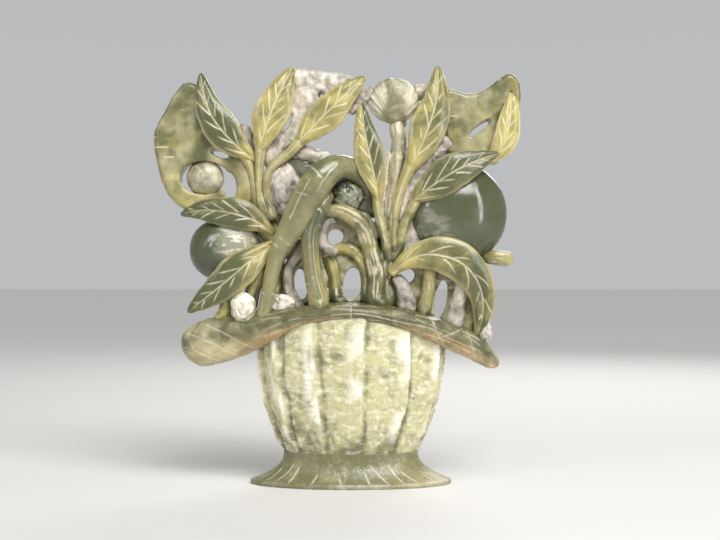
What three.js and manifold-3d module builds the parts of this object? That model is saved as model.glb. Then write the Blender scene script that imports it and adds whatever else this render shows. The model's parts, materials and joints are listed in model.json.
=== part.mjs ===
// A carved jade basket of fruit, leaves and a flower, standing on a flared foot.
// Millimetres, +Z up. The origin is the middle of the foot's flat underside, and the
// carved front faces -Y.

import * as THREE from "three";
import { mergeVertices } from "three/addons/utils/BufferGeometryUtils.js";
import Module from "manifold-3d";

// Driving dimensions
const GAP = 0.32; // kept between neighbouring elements
const MERGE = 1e-4; // vertices closer than this are one
const SPLINE_STEP = 7.5; // distance between the rings of a stem or a leaf
const STEM_SIDES = 8;
const LEAF_SIDES = 8;
const RIM_SIDES = 14;
const ROD_SIDES = 14; // of the rods that pierce the plates
const LATHE_SIDES = 32;
const FLARE_STEPS = 6;
const WALL_STEPS = 7;
const SIDES_PER_LOBE = 4;
const DOME = 0.6; // how far the end of a swept form bulges, as a share of its depth there
const CUT_REACH = 60; // how far a piercing cutter runs, front to back

const FOOT_HALF_WIDTH = 48.5;
const FOOT_EDGE = 1.6; // height of the foot's upright edge
const FOOT_FLARE = 2.4; // how late and sharply the foot flares out
const NECK_Z = 14.5;
const NECK_HALF_WIDTH = 32.5;
const BODY_TOP_Z = 80;
const BODY_HALF_WIDTH = 45.4;
const BODY_FULL_Z = 63; // the basket has its full width from here up
const BASKET_FLATNESS = 0.46; // depth of the basket and its foot, as a share of width
const LOBES = 12; // ribs all round the basket
const LOBE_DEPTH = 0.04; // as a share of the radius
const FIRST_RIDGE = THREE.MathUtils.degToRad(-84); // the ridge just right of the middle of the front

const LEAF_THICKNESS = 6;
const LEAF_CUP = 1.6; // how far the edges of a leaf bend back
const PLATE_BEVEL = 1.4;
const PLATE_THICKNESS = 12; // of the leaves and the ground behind the carving
const WEB_THICKNESS = 8; // of the stone left between the lower stems

// Materials
const finish = (color, roughness) => new THREE.MeshStandardMaterial({ color, roughness, metalness: 0 });
const PALE_JADE = finish(0xd3d6a8, 0.35);
const LEAF_JADE = finish(0xb4b86f, 0.35);
const DARK_JADE = finish(0x66754c, 0.15);
const STEM_JADE = finish(0xc9c07a, 0.35);
const ROUGH_JADE = finish(0xc4bab0, 0.8);

// The arched rim: a solid saddle whose ends droop, the left one as a broad tongue. Its path
// of [x, y, z], and half its height and depth at each of the path's points.
const RIM = {
  path: [[-77.5, -4, 62], [-70, -4, 65], [-58, -3, 70.5], [-32, 0, 78.5], [0, 0, 82.5], [32, 0, 77],
    [53, 0, 68], [69, -1, 57]],
  halfHeight: [4.5, 9.5, 11, 6, 4.8, 5.8, 6.5, 2],
  halfDepth: [3, 8, 12, 20, 23, 20, 12, 2.5],
};

// Stems and handle parts: a path of [x, y, z] and the radius at each of its points.
const STEMS = {
  handle_limb: {
    path: [[-41, -12, 80], [-38, -13, 97], [-34, -14, 113], [-24, -15, 129], [-15, -14, 145],
      [-5, -10, 152], [4, -3, 147], [11, 3, 132]],
    radius: [4.5, 4, 4.5, 7, 7, 5.5, 4, 3],
    finish: DARK_JADE,
  },
  handle_mid_leg: {
    path: [[-14, -12, 81], [-17, -13, 94], [-19, -14, 110], [-19, -14, 125], [-17, -14, 136]],
    radius: [6, 4, 4, 4.5, 5],
    finish: DARK_JADE,
  },
  stem_loop_upper: {
    path: [[-14, -7, 130], [-5, -8, 131], [4, -8, 125], [9, -8, 114], [12, -8, 100], [12, -7, 83]],
    radius: [3, 3.5, 4.5, 4, 4, 5],
    finish: STEM_JADE,
  },
  knot_ring: {
    path: [[-9, -7, 127], [-14, -8, 122], [-14, -8, 115], [-8, -7, 111]],
    radius: [2, 2.3, 2.6, 2.2],
    finish: ROUGH_JADE,
  },
  stem_loop_lower: {
    path: [[-11, -4, 111], [-3, -4, 113], [5, -5, 108], [8, -5, 98], [8, -4, 84]],
    radius: [2.5, 3, 3.5, 3, 4],
    finish: LEAF_JADE,
  },
  stem_small: {
    path: [[-11, -3, 110], [-8, -3, 98], [-7, -3, 84]],
    radius: [3, 2.8, 3.5],
    finish: LEAF_JADE,
  },
  stem_upper_left: {
    path: [[-51, -5, 158], [-47, -4, 149], [-46, -4, 138], [-42, -5, 128]],
    radius: [3, 2.2, 2.2, 3],
    finish: STEM_JADE,
  },
  stem_top_left: {
    path: [[-43, -7, 165], [-44, -6, 152], [-44, -6, 140], [-41, -8, 128]],
    radius: [3, 2.3, 2.2, 3],
    finish: STEM_JADE,
  },
  stem_top_middle: {
    path: [[-22, -7, 167], [-30, -7, 158], [-38, -7, 152], [-41, -7, 141], [-38, -8, 129]],
    radius: [3.5, 2.8, 2.3, 2.3, 3],
    finish: STEM_JADE,
  },
  stem_centre: {
    path: [[13, -8, 141], [13, -7, 130], [16, -6, 120], [18, -6, 110]],
    radius: [2.5, 2.3, 2.3, 3],
    finish: STEM_JADE,
  },
  stem_flower: {
    path: [[22, -3, 178], [23, -3, 163], [20, -3, 143], [18, -3, 126], [18, -4, 112]],
    radius: [4.5, 3.6, 3.3, 2.8, 3],
    finish: ROUGH_JADE,
  },
  stem_top_right: {
    path: [[30, -8, 156], [25, -7, 144], [21, -7, 130], [20, -6, 113]],
    radius: [3.2, 2.8, 2.5, 3],
    finish: STEM_JADE,
  },
  stem_right_peach: {
    path: [[34, -10, 140], [28, -9, 130], [24, -8, 120], [21, -6, 110]],
    radius: [2.8, 2.5, 2.5, 3],
    finish: STEM_JADE,
  },
  branch_left: {
    path: [[-39, -7, 113], [-43, -7, 103], [-47, -7, 93], [-49, -6, 84]],
    radius: [3, 3.4, 3.4, 4],
    finish: STEM_JADE,
  },
  twig_left: {
    path: [[-22, -5, 114], [-28, -5, 107], [-31, -5, 99], [-28, -5, 90], [-26, -5, 82]],
    radius: [3, 2.6, 2.8, 3, 4],
    finish: ROUGH_JADE,
  },
  trunk_left: {
    path: [[-47, -2, 132], [-41, -3, 124], [-36, -4, 114], [-36, -4, 100], [-39, -3, 82]],
    radius: [4.5, 6, 4, 3, 4],
    finish: LEAF_JADE,
  },
  trunk_right: {
    path: [[19, -1, 116], [17, -1, 105], [15, 0, 95], [15, 0, 82]],
    radius: [6.5, 6, 6.5, 9],
    finish: LEAF_JADE,
  },
  prop_rough: {
    path: [[22, -5, 99], [26, -5, 92], [27, -5, 80]],
    radius: [2.6, 4, 4.6],
    finish: ROUGH_JADE,
  },
  prop_stem: {
    path: [[38, -9, 105], [37, -7, 94], [34, -5, 80]],
    radius: [3.2, 2.8, 4],
    finish: STEM_JADE,
  },
  prop_pale: {
    path: [[53, -8, 101], [52, -6, 90], [49, -3, 76]],
    radius: [3, 3.2, 5],
    finish: ROUGH_JADE,
  },
  peach_right_stub: {
    path: [[62, 2, 111], [67, 1, 109], [71, 0, 108.5], [75, 0, 108]],
    radius: [3.5, 2.8, 4.4, 3.4],
    finish: STEM_JADE,
  },
  web_lower_left: {
    path: [[-57, -11, 96], [-60, -9, 86], [-60, -6, 74]],
    radius: [3, 3, 4],
    finish: LEAF_JADE,
  },
  ground_link: {
    path: [[-31, -5, 161], [-22, -4, 159], [-12, -5, 155]],
    radius: [4, 3.6, 4],
    finish: ROUGH_JADE,
  },
  ground_bar: {
    path: [[-1, -5, 180], [4, -4, 184], [11, -4, 188]],
    radius: [3.4, 3, 3.8],
    finish: ROUGH_JADE,
  },
  ground_flower: {
    path: [[25, -4, 186], [32, -3, 188], [39, -3, 189]],
    radius: [4, 3.8, 3],
    finish: ROUGH_JADE,
  },
  ground_upper_left: {
    path: [[-52, -1, 171], [-49, -1, 163], [-46, -2, 155]],
    radius: [4, 3.6, 2.4],
    finish: ROUGH_JADE,
  },
  ground_right: {
    path: [[46, -2, 165], [36, -5, 152], [28, -6, 139], [24, -6, 127], [22, -5, 116]],
    radius: [4, 3.6, 3.2, 2.8, 3],
    finish: ROUGH_JADE,
  },
};

// Leaves: the midrib as [x, y, z] from base to tip, and the full width.
const LEAVES = {
  leaf_upper_left: { rib: [[-48, -6, 157], [-57, -8, 165], [-67, -8, 178], [-72, -4, 195]], width: 17 },
  leaf_top_left: { rib: [[-43, -8, 162], [-39, -10, 175], [-34, -9, 186], [-29, -5, 198]], width: 18.5 },
  leaf_top_middle: { rib: [[-25, -8, 164], [-14, -10, 175], [-4, -9, 185], [5, -5, 194]], width: 17 },
  leaf_centre: { rib: [[13, -9, 138], [10.5, -11, 151], [7.5, -10, 164], [5, -6, 181]], width: 16 },
  leaf_top_right: { rib: [[29, -9, 152], [35, -11, 166], [40, -10, 181], [42, -6, 198.5]], width: 18.5 },
  leaf_right_edge: { rib: [[66, -5, 155], [72.5, -8, 163], [76, -7, 174], [77, -3, 188]], width: 13 },
  leaf_over_right_peach: {
    rib: [[31, -11, 137], [41, -13, 144], [52, -13, 151], [69, -8, 158]],
    width: 19,
  },
  leaf_lower_right: {
    rib: [[21, -9, 103], [32, -12, 109], [45, -13, 108.5], [56, -13, 102], [62.5, -11, 89], [61, -7, 73]],
    width: 18,
  },
  leaf_over_left_peach: {
    rib: [[-39, -9, 122], [-51, -11, 128], [-66, -10, 131], [-80, -4, 130]],
    width: 16,
  },
  leaf_lower_left: {
    rib: [[-39, -10, 114], [-50, -14, 105], [-63, -14, 94], [-76, -9, 84]],
    width: 18,
  },
};

// Rounded lumps: centre, half sizes along X, Y and Z, and how many rings each is made of.
const LUMPS = {
  peach_left: { at: [-60, 1, 112.5], half: [18.5, 15, 15.5], finish: DARK_JADE, rings: 10 },
  peach_right: { at: [51.5, 2, 130.5], half: [24, 17, 24.5], finish: DARK_JADE, rings: 10 },
  handle_bud: { at: [-2, -3, 138], half: [8, 7, 7.5], finish: DARK_JADE, rings: 7 },
  disc_bud: { at: [-70.5, 0, 147], half: [9, 6.5, 8.8], finish: PALE_JADE, rings: 8 },
  frosted_bud: { at: [-51, -13, 85], half: [6, 6, 7.2], finish: PALE_JADE, rings: 8 },
  flower_head: { at: [20.5, -4, 184], half: [12.5, 7, 11], finish: PALE_JADE, rings: 9 },
  cave_rock: { at: [-32, -3, 141], half: [7.5, 7, 11.5], finish: ROUGH_JADE, rings: 7 },
  chunk_left: { at: [-33, -7, 85], half: [6.5, 6, 6], finish: ROUGH_JADE, rings: 6 },
  chunk_right: { at: [63.5, -3, 74], half: [4.5, 6, 6], finish: ROUGH_JADE, rings: 6 },
};

// Flat background pieces: an outline of [x, z] through which a smooth closed curve runs,
// its middle depth and thickness, and the holes pierced through it. A hole's tilt is in
// degrees, anticlockwise as the front is seen.
const PLATES = {
  leaf_far_left: {
    outline: [[-81, 192], [-90, 178], [-94.5, 169], [-93, 154], [-88, 139], [-78, 131], [-60, 130],
      [-48, 135], [-47, 150], [-54, 161], [-66, 168], [-70, 182], [-75, 192]],
    y: 1,
    thickness: PLATE_THICKNESS,
    holes: [
      { at: [-70.5, 147], half: [12.6, 8.4], tilt: 0 },
      { at: [-58.5, 143.5], half: [3.8, 7], tilt: 8 },
      { at: [-63, 158.5], half: [5, 2], tilt: -20 },
    ],
    finish: LEAF_JADE,
  },
  leaf_back_right: {
    outline: [[46, 190], [56, 187], [66, 190], [76, 197.5], [81, 193], [81, 180], [79, 167], [70, 154],
      [56, 157], [44, 160], [43, 175]],
    y: 1,
    thickness: PLATE_THICKNESS,
    holes: [
      { at: [62, 171], half: [7.2, 1.9], tilt: 38 },
      { at: [45.5, 167], half: [1.2, 2.4], tilt: 0 },
    ],
    finish: LEAF_JADE,
  },
  ground_top: {
    outline: [[-28, 198.5], [-14, 198], [2, 195], [-3, 187], [-16, 174], [-25, 164], [-31, 156],
      [-39, 150], [-42, 158], [-38, 166], [-33, 174], [-29, 186]],
    y: 1,
    thickness: PLATE_THICKNESS + 1,
    holes: [
      { at: [-31, 174], half: [2.2, 5.4], tilt: -25 },
      { at: [-14.5, 187], half: [1.7, 2.4], tilt: -15 },
    ],
    finish: ROUGH_JADE,
  },
  web_left: {
    outline: [[-42, 84], [-41, 98], [-37, 111], [-27, 119], [-21, 113], [-18, 99], [-17, 84], [-29, 82]],
    y: 0,
    thickness: WEB_THICKNESS,
    holes: [
      { at: [-24.2, 96], half: [3.8, 8], tilt: 6 },
      { at: [-30.8, 106], half: [2, 2.6], tilt: 0 },
      { at: [-35, 94.2], half: [1.1, 1.5], tilt: 0 },
    ],
    finish: LEAF_JADE,
  },
  web_middle: {
    outline: [[-17, 85], [-18, 100], [-18, 118], [-13, 130], [-4, 133], [6, 131], [14, 125], [17, 112],
      [17, 98], [15, 85], [0, 87]],
    y: 0,
    thickness: WEB_THICKNESS,
    holes: [
      { at: [-7.5, 118.7], half: [4.2, 4.2], tilt: 0 },
      { at: [0.7, 96], half: [5, 8.4], tilt: -6 },
      { at: [-10.8, 96], half: [0.9, 2.6], tilt: -15 },
      { at: [13.6, 117.2], half: [1.6, 1.6], tilt: 0 },
      { at: [10.8, 128.2], half: [1.6, 3], tilt: 15 },
    ],
    finish: STEM_JADE,
  },
  web_right: {
    outline: [[17, 84], [19, 104], [30, 111], [45, 110], [57, 103], [63, 92], [64, 78], [55, 69],
      [38, 75]],
    y: 0,
    thickness: WEB_THICKNESS,
    holes: [
      { at: [26.8, 99.8], half: [4.6, 3.9], tilt: 20 },
      { at: [43.5, 88.8], half: [3.5, 9.6], tilt: -9 },
    ],
    finish: LEAF_JADE,
  },
  ground_fan: {
    outline: [[11, 111], [24, 109], [35, 112], [35, 136], [45, 158], [28, 161], [16, 159], [14, 136]],
    y: 2,
    thickness: PLATE_THICKNESS + 1,
    holes: [],
    finish: ROUGH_JADE,
  },
  ground_handle: {
    outline: [[-12, 147], [-2, 151], [8, 143], [12, 130], [0, 131], [-14, 132]],
    y: 3,
    thickness: PLATE_THICKNESS,
    holes: [],
    finish: DARK_JADE,
  },
  cave_back: {
    outline: [[-42, 148], [-30, 157], [-16, 153], [-17, 138], [-27, 124], [-43, 124]],
    y: 1,
    thickness: PLATE_THICKNESS + 1,
    holes: [],
    finish: DARK_JADE,
  },
};

const wasm = await Module();
wasm.setup();

// The geometry with its shared vertices merged, so that moving them keeps it closed.
function closed(geometry) {
  geometry.deleteAttribute("normal");
  geometry.deleteAttribute("uv");
  return mergeVertices(geometry, MERGE);
}

// A closed three.js geometry as a manifold-3d solid.
function solidFrom(geometry) {
  return new wasm.Manifold(
    new wasm.Mesh({
      numProp: 3,
      vertProperties: new Float32Array(geometry.attributes.position.array),
      triVerts: new Uint32Array(geometry.index.array),
    }),
  );
}

// A manifold-3d solid as a named mesh.
function meshFrom(name, solid, material) {
  const made = solid.getMesh();
  const geometry = new THREE.BufferGeometry();
  geometry.setAttribute("position", new THREE.BufferAttribute(new Float32Array(made.vertProperties), 3));
  geometry.setIndex(new THREE.BufferAttribute(new Uint32Array(made.triVerts), 1));
  geometry.computeVertexNormals();
  const mesh = new THREE.Mesh(geometry, material);
  mesh.name = name;
  return mesh;
}

// Moves every vertex of a geometry to where the function puts it.
function reshape(geometry, place) {
  const positions = geometry.attributes.position;
  const from = new THREE.Vector3();
  for (let i = 0; i < positions.count; i++) {
    from.fromBufferAttribute(positions, i);
    const to = place(from);
    positions.setXYZ(i, to.x, to.y, to.z);
  }
  return geometry;
}

// The value at t, 0 to 1, along a list of evenly spaced values.
function along(values, t) {
  const place = t * (values.length - 1);
  const index = Math.min(Math.floor(place), values.length - 2);
  return THREE.MathUtils.lerp(values[index], values[index + 1], place - index);
}

// Sweeps a section along a path. section(t, angle) gives how far a surface point lies to
// the side of the path and how far in front of it.
function sweep(points, sides, section) {
  const path = new THREE.CatmullRomCurve3(points.map((p) => new THREE.Vector3(...p)), false, "centripetal");
  const steps = Math.max(3, Math.round(path.getLength() / SPLINE_STEP));
  const forward = new THREE.Vector3(0, -1, 0);
  const tube = closed(new THREE.CylinderGeometry(1, 1, 1, sides, steps));
  return reshape(tube, (from) => {
    const t = THREE.MathUtils.clamp(from.y + 0.5, 0, 1);
    const onAxis = Math.hypot(from.x, from.z) < 0.5;
    const tangent = path.getTangent(t);
    const side = new THREE.Vector3().crossVectors(tangent, forward).normalize();
    const front = new THREE.Vector3().crossVectors(side, tangent).normalize();
    if (onAxis) {
      const dome = DOME * Math.abs(section(t, Math.PI / 2)[1]);
      return path.getPoint(t).addScaledVector(tangent, t < 0.5 ? -dome : dome);
    }
    const [across, ahead] = section(t, Math.atan2(from.z, from.x));
    return path.getPoint(t).addScaledVector(side, across).addScaledVector(front, ahead);
  });
}

function stem({ path, radius }, grow) {
  return sweep(path, STEM_SIDES, (t, angle) => {
    const r = along(radius, t) + grow;
    return [r * Math.cos(angle), r * Math.sin(angle)];
  });
}

// Half the width of a leaf at t, as a share of its greatest half width.
function leafOutline(t) {
  return 0.14 + 0.86 * Math.sin(Math.PI * t ** 0.85) ** 0.62;
}

function leaf({ rib, width }, grow) {
  return sweep(rib, LEAF_SIDES, (t, angle) => {
    const across = Math.cos(angle);
    const half = (width / 2) * leafOutline(Math.min(t, 0.999));
    const ahead = (LEAF_THICKNESS / 2 + grow) * Math.sin(angle) - LEAF_CUP * across * across;
    return [(half + grow) * across, ahead];
  });
}

function lump({ at, half, rings }, grow) {
  const ball = closed(new THREE.SphereGeometry(1, rings + 4, rings));
  return reshape(ball, (from) =>
    new THREE.Vector3(
      at[0] + from.x * (half[0] + grow),
      at[1] + from.z * (half[1] + grow),
      at[2] - from.y * (half[2] + grow),
    ),
  );
}

// A plate of stone with a bevelled smooth outline, standing in the XZ plane.
function plate({ outline, y, thickness }, grow) {
  const curve = new THREE.CatmullRomCurve3(
    outline.map(([x, z]) => new THREE.Vector3(x, z, 0)), true, "centripetal",
  );
  const edge = curve.getPoints(outline.length * 2).slice(0, -1);
  const shape = new THREE.Shape(edge.map((p) => new THREE.Vector2(p.x, p.y)));
  const depth = thickness - 2 * PLATE_BEVEL + 2 * grow;
  const slab = closed(new THREE.ExtrudeGeometry(shape, {
    depth,
    bevelThickness: PLATE_BEVEL,
    bevelSize: PLATE_BEVEL,
    bevelOffset: grow - PLATE_BEVEL,
    bevelSegments: 1,
  }));
  slab.translate(0, 0, -depth / 2);
  slab.rotateX(Math.PI / 2);
  slab.translate(0, y, 0);
  return slab;
}

// An elliptical rod that pierces a plate from front to back.
function piercing({ at, half, tilt }) {
  const rod = closed(new THREE.CylinderGeometry(1, 1, CUT_REACH, ROD_SIDES));
  rod.scale(half[0], 1, half[1]);
  rod.rotateY(THREE.MathUtils.degToRad(-tilt));
  rod.translate(at[0], 0, at[1]);
  return rod;
}

// The foot: a concave flare from a flat underside to the neck.
function foot() {
  const profile = [new THREE.Vector2(0, 0), new THREE.Vector2(FOOT_HALF_WIDTH, 0)];
  for (let i = 0; i <= FLARE_STEPS; i++) {
    const t = i / FLARE_STEPS;
    const out = (1 - t) ** FOOT_FLARE;
    const top = NECK_Z - GAP;
    profile.push(new THREE.Vector2(
      NECK_HALF_WIDTH + (FOOT_HALF_WIDTH - NECK_HALF_WIDTH) * out,
      FOOT_EDGE + (top - FOOT_EDGE) * t,
    ));
  }
  profile.push(new THREE.Vector2(0, NECK_Z - GAP));
  return upright(closed(new THREE.LatheGeometry(profile, LATHE_SIDES))).scale(1, BASKET_FLATNESS, 1);
}

// A lathed form is made about Y and stood up on Z.
function upright(geometry) {
  return geometry.rotateX(Math.PI / 2);
}

// The ribbed basket, rounding out from the neck.
function basketBody(grow) {
  const profile = [new THREE.Vector2(0, NECK_Z)];
  for (let i = 0; i <= WALL_STEPS; i++) {
    const z = NECK_Z + ((BODY_TOP_Z - NECK_Z) * i) / WALL_STEPS;
    const swell = Math.min(1, (z - NECK_Z) / (BODY_FULL_Z - NECK_Z));
    const radius = NECK_HALF_WIDTH + (BODY_HALF_WIDTH - NECK_HALF_WIDTH) * Math.sin((swell * Math.PI) / 2);
    profile.push(new THREE.Vector2(radius + grow, z));
  }
  profile.push(new THREE.Vector2(0, BODY_TOP_Z));
  const form = upright(closed(new THREE.LatheGeometry(profile, LOBES * SIDES_PER_LOBE)));
  return reshape(form, (from) => {
    const angle = Math.atan2(from.y, from.x);
    const lobe = 1 - LOBE_DEPTH * (1 - Math.abs(Math.cos((LOBES * (angle - FIRST_RIDGE)) / 2)));
    return new THREE.Vector3(from.x * lobe, from.y * lobe * BASKET_FLATNESS, from.z);
  });
}

function rim(grow) {
  return sweep(RIM.path, RIM_SIDES, (t, angle) => [
    (along(RIM.halfHeight, t) + grow) * Math.cos(angle),
    (along(RIM.halfDepth, t) + grow) * Math.sin(angle),
  ]);
}

// Every element in order of precedence: a later one is cut clear of all the earlier ones.
const elements = [{ name: "rim", make: rim, finish: PALE_JADE }];
const stemOf = (name) => ({ name, make: (grow) => stem(STEMS[name], grow), finish: STEMS[name].finish });
const leafOf = (name) => ({ name, make: (grow) => leaf(LEAVES[name], grow), finish: LEAF_JADE });
const lumpOf = (name) => ({ name, make: (grow) => lump(LUMPS[name], grow), finish: LUMPS[name].finish });
const plateOf = (name) => ({
  name,
  make: (grow) => plate(PLATES[name], grow),
  holes: PLATES[name].holes,
  finish: PLATES[name].finish,
});
const HANDLE = ["handle_limb", "handle_mid_leg"];
const otherStems = Object.keys(STEMS).filter((name) => !HANDLE.includes(name));
elements.push(...HANDLE.map(stemOf));
elements.push(...Object.keys(LEAVES).map(leafOf));
elements.push(...Object.keys(LUMPS).map(lumpOf));
elements.push(...otherStems.map(stemOf));
elements.push(...Object.keys(PLATES).map(plateOf));
elements.push({ name: "basket_body", make: basketBody, finish: PALE_JADE });
elements.push({ name: "foot", make: foot, finish: PALE_JADE });

// The largest of the bodies that a cut leaves.
function largest(solid) {
  const bodies = solid.decompose();
  return bodies.reduce((best, body) => (body.volume() > best.volume() ? body : best));
}

const carving = new THREE.Group();
const earlier = [];
for (const { name, make, holes = [], finish: material } of elements) {
  let solid = solidFrom(make(0));
  for (const hole of holes) {
    solid = solid.subtract(solidFrom(piercing(hole)));
  }
  for (const neighbour of earlier) {
    solid = solid.subtract(neighbour);
  }
  carving.add(meshFrom(name, largest(solid), material));
  earlier.push(solidFrom(make(GAP)));
}

export default carving;
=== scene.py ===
"""The looks of a carved jade basket of fruit, leaves and a flower, built around its CAD frame.

Every piece is measured from the CAD: swept forms from their node's midline, the basket and
foot from their boxes, the neck between them and the rim above, lumps from the ellipsoid that
fits them, and pierced or broken ground from the node's own surface.
"""

import heapq
import itertools
import json
import math

import bmesh
import bpy
import numpy as np
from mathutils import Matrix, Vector
from mathutils.kdtree import KDTree


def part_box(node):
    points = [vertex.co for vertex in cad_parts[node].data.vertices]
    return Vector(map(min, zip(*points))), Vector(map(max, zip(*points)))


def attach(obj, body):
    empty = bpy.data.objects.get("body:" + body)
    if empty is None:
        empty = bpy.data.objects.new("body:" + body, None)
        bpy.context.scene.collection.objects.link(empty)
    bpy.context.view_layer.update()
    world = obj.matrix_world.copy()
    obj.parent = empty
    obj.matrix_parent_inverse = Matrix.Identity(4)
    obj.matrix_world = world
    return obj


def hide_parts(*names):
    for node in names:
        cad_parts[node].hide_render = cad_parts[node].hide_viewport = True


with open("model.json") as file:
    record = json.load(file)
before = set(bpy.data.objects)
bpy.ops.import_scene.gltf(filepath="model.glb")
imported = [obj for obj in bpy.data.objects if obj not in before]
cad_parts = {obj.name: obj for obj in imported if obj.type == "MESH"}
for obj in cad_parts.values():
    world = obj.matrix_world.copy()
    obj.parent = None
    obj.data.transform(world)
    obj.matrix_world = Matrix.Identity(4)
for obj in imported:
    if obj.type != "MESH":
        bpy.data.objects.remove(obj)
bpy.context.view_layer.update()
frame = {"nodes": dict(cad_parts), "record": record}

MM = 0.001
FRONT = np.array([0.0, -1.0, 0.0])
SLOTS = {subpart["node"]: subpart["material_slot"] for subpart in frame["record"]["subparts"]}

# Fineness of the meshes
MEASURE_VOXEL = 1.1 * MM
LINK_REACH = 2.4 * MM  # measured points closer than this count as neighbours
GROUND_VOXEL = 0.6 * MM
RING_SPACING = 0.36 * MM
STEM_SIDES = 40
HANDLE_SIDES = 80
LEAF_SIDES = 150
RIM_SIDES = 220
BODY_SIDES = 520
BODY_ROWS = 180
OVERLAP = 1.3 * MM  # how far a piece runs on into its neighbours, as the real stone does

# Carving
VEIN_WIDTH = 0.55 * MM
VEIN_DEPTH = 0.35 * MM
VEIN_SPACES = 5  # from one side vein's root to the next, on each half of a leaf
VEINED_SHARE = 0.78  # of a leaf's length, that those spaces take up
VEIN_SLANT = 1.9  # how far a vein climbs for each step to the side
MIDRIB_WIDTH = 0.6 * MM
MIDRIB_DEPTH = 0.45 * MM
STROKE_WIDTH = 0.6 * MM  # the chisel strokes along a stem
STROKE_DEPTH = 0.24 * MM
RING_CUT_WIDTH = 0.7 * MM  # the scratches round the handle
RING_CUT_DEPTH = 0.22 * MM
REED_WIDTH = 0.75 * MM  # the lines along the rim
REED_DEPTH = 0.42 * MM
BINDING_WIDTH = 0.8 * MM  # the cuts that cross them
BINDING_DEPTH = 0.35 * MM


# ---------------------------------------------------------------- numbers


def smoothstep(low, high, x):
    t = np.clip((x - low) / (high - low), 0, 1)
    return t * t * (3 - 2 * t)


def ridge(distance, width):
    """1 on a line, falling smoothly to nearly 0 at width to either side."""
    return np.exp(-((distance / (0.5 * width)) ** 2))


def noise(points, size, seed):
    """Smooth noise from -1 to 1, whose blobs are about size across."""
    lattice = points / size
    cell = np.floor(lattice).astype(np.int64)
    part = lattice - cell
    part = part * part * (3 - 2 * part)
    total = np.zeros(points.shape[:-1])
    for corner in itertools.product((0, 1), repeat=3):
        corner = np.array(corner)
        weight = np.prod(np.where(corner == 1, part, 1 - part), axis=-1)
        at = cell + corner
        mixed = at[..., 0] * 374761393 + at[..., 1] * 668265263 + at[..., 2] * 974634777
        mixed = (mixed + seed * 144665) & 0x7FFFFFFF
        mixed = ((mixed ^ (mixed >> 13)) * 1274126177) & 0x7FFFFFFF
        total += weight * ((mixed ^ (mixed >> 16)) & 0xFFFF) / 0x7FFF
    return total - 1


def rough(points, size, seed, octaves=3):
    """Noise with finer and finer detail."""
    total = np.zeros(points.shape[:-1])
    for octave in range(octaves):
        total += noise(points, size / 2**octave, seed + octave) / 2**octave
    return total


def local_fit(at, places, values, reach):
    """Smooth values at the places asked for, from scattered measurements around them."""
    smoothed = []
    for place in at:
        weight = np.exp(-(((places - place) / reach) ** 2))
        smoothed.append(np.polyfit(places - place, values, 2, w=weight)[-1])
    return np.array(smoothed)


# ---------------------------------------------------------------- meshes


def link(name, mesh):
    piece = bpy.data.objects.new(name, mesh)
    bpy.context.scene.collection.objects.link(piece)
    return piece


def shade_smooth(mesh):
    mesh.polygons.foreach_set("use_smooth", np.ones(len(mesh.polygons), bool))


def positions(mesh):
    flat = np.zeros(len(mesh.vertices) * 3)
    mesh.vertices.foreach_get("co", flat)
    return flat.reshape(-1, 3)


def normals(mesh):
    flat = np.zeros(len(mesh.vertices) * 3)
    mesh.vertices.foreach_get("normal", flat)
    return flat.reshape(-1, 3)


def move(mesh, points):
    mesh.vertices.foreach_set("co", points.reshape(-1))
    mesh.update()


def paint(mesh, pale=0.0, green=0.5, stain=0.0):
    """What the materials read at each vertex.

    pale: engraved, frosted or white with wear, and painted highlights. green: from yellow to green, and
    greener where shade is painted. stain: tan.
    """
    for name, values in (("pale", pale), ("green", green), ("stain", stain)):
        layer = mesh.attributes.new(name, "FLOAT", "POINT")
        spread = np.broadcast_to(np.clip(values, 0, 1), len(mesh.vertices))
        layer.data.foreach_set("value", spread.astype(np.float32))


def tube_mesh(name, rings):
    """A closed mesh of rings (count x sides x 3), its ends closed by a point each."""
    count, sides = rings.shape[:2]
    poles = [rings[0].mean(axis=0), rings[-1].mean(axis=0)]
    points = np.vstack([rings.reshape(-1, 3), poles])
    step = np.arange(sides)
    after = (step + 1) % sides
    low = (np.arange(count - 1) * sides)[:, None]
    quads = np.stack([low + step, low + after, low + sides + after, low + sides + step], axis=-1)
    first, last = count * sides, count * sides + 1
    top = (count - 1) * sides
    start_fan = np.stack([after, step, np.full(sides, first)], axis=-1)
    end_fan = np.stack([top + step, top + after, np.full(sides, last)], axis=-1)
    mesh = bpy.data.meshes.new(name)
    faces = quads.reshape(-1, 4).tolist() + start_fan.tolist() + end_fan.tolist()
    mesh.from_pydata(points.tolist(), [], faces)
    shade_smooth(mesh)
    return mesh


def with_poles(grid, ends=0.0):
    """A value on every ring vertex, and the same end value on the two closing points."""
    return np.concatenate([grid.reshape(-1), [ends, ends]])


def remeshed(node, voxel, smoothing=0):
    """A copy of a CAD node's surface in even small faces, its facets smoothed away."""
    source = link(node + "_source", frame["nodes"][node].data.copy())
    weld = source.modifiers.new("weld", "WELD")
    weld.merge_threshold = 0.002 * MM
    remesh = source.modifiers.new("remesh", "REMESH")
    remesh.mode = "VOXEL"
    remesh.voxel_size = voxel
    if smoothing:
        smooth = source.modifiers.new("smooth", "SMOOTH")
        smooth.factor = 0.5
        smooth.iterations = smoothing
    mesh = bpy.data.meshes.new_from_object(source.evaluated_get(bpy.context.evaluated_depsgraph_get()))
    bpy.data.objects.remove(source)
    mesh.materials.clear()
    return mesh


# ---------------------------------------------------------------- midlines

# Every stem and leaf grows away from the middle of the rim
HEART = np.array([0.0, 0.0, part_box("rim")[1].z])


def near_links(points):
    """Each point's neighbours, and how far off each one is."""
    tree = KDTree(len(points))
    for index, point in enumerate(points):
        tree.insert(point, index)
    tree.balance()
    return [[(to, gap) for _, to, gap in tree.find_range(point, LINK_REACH)] for point in points]


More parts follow.
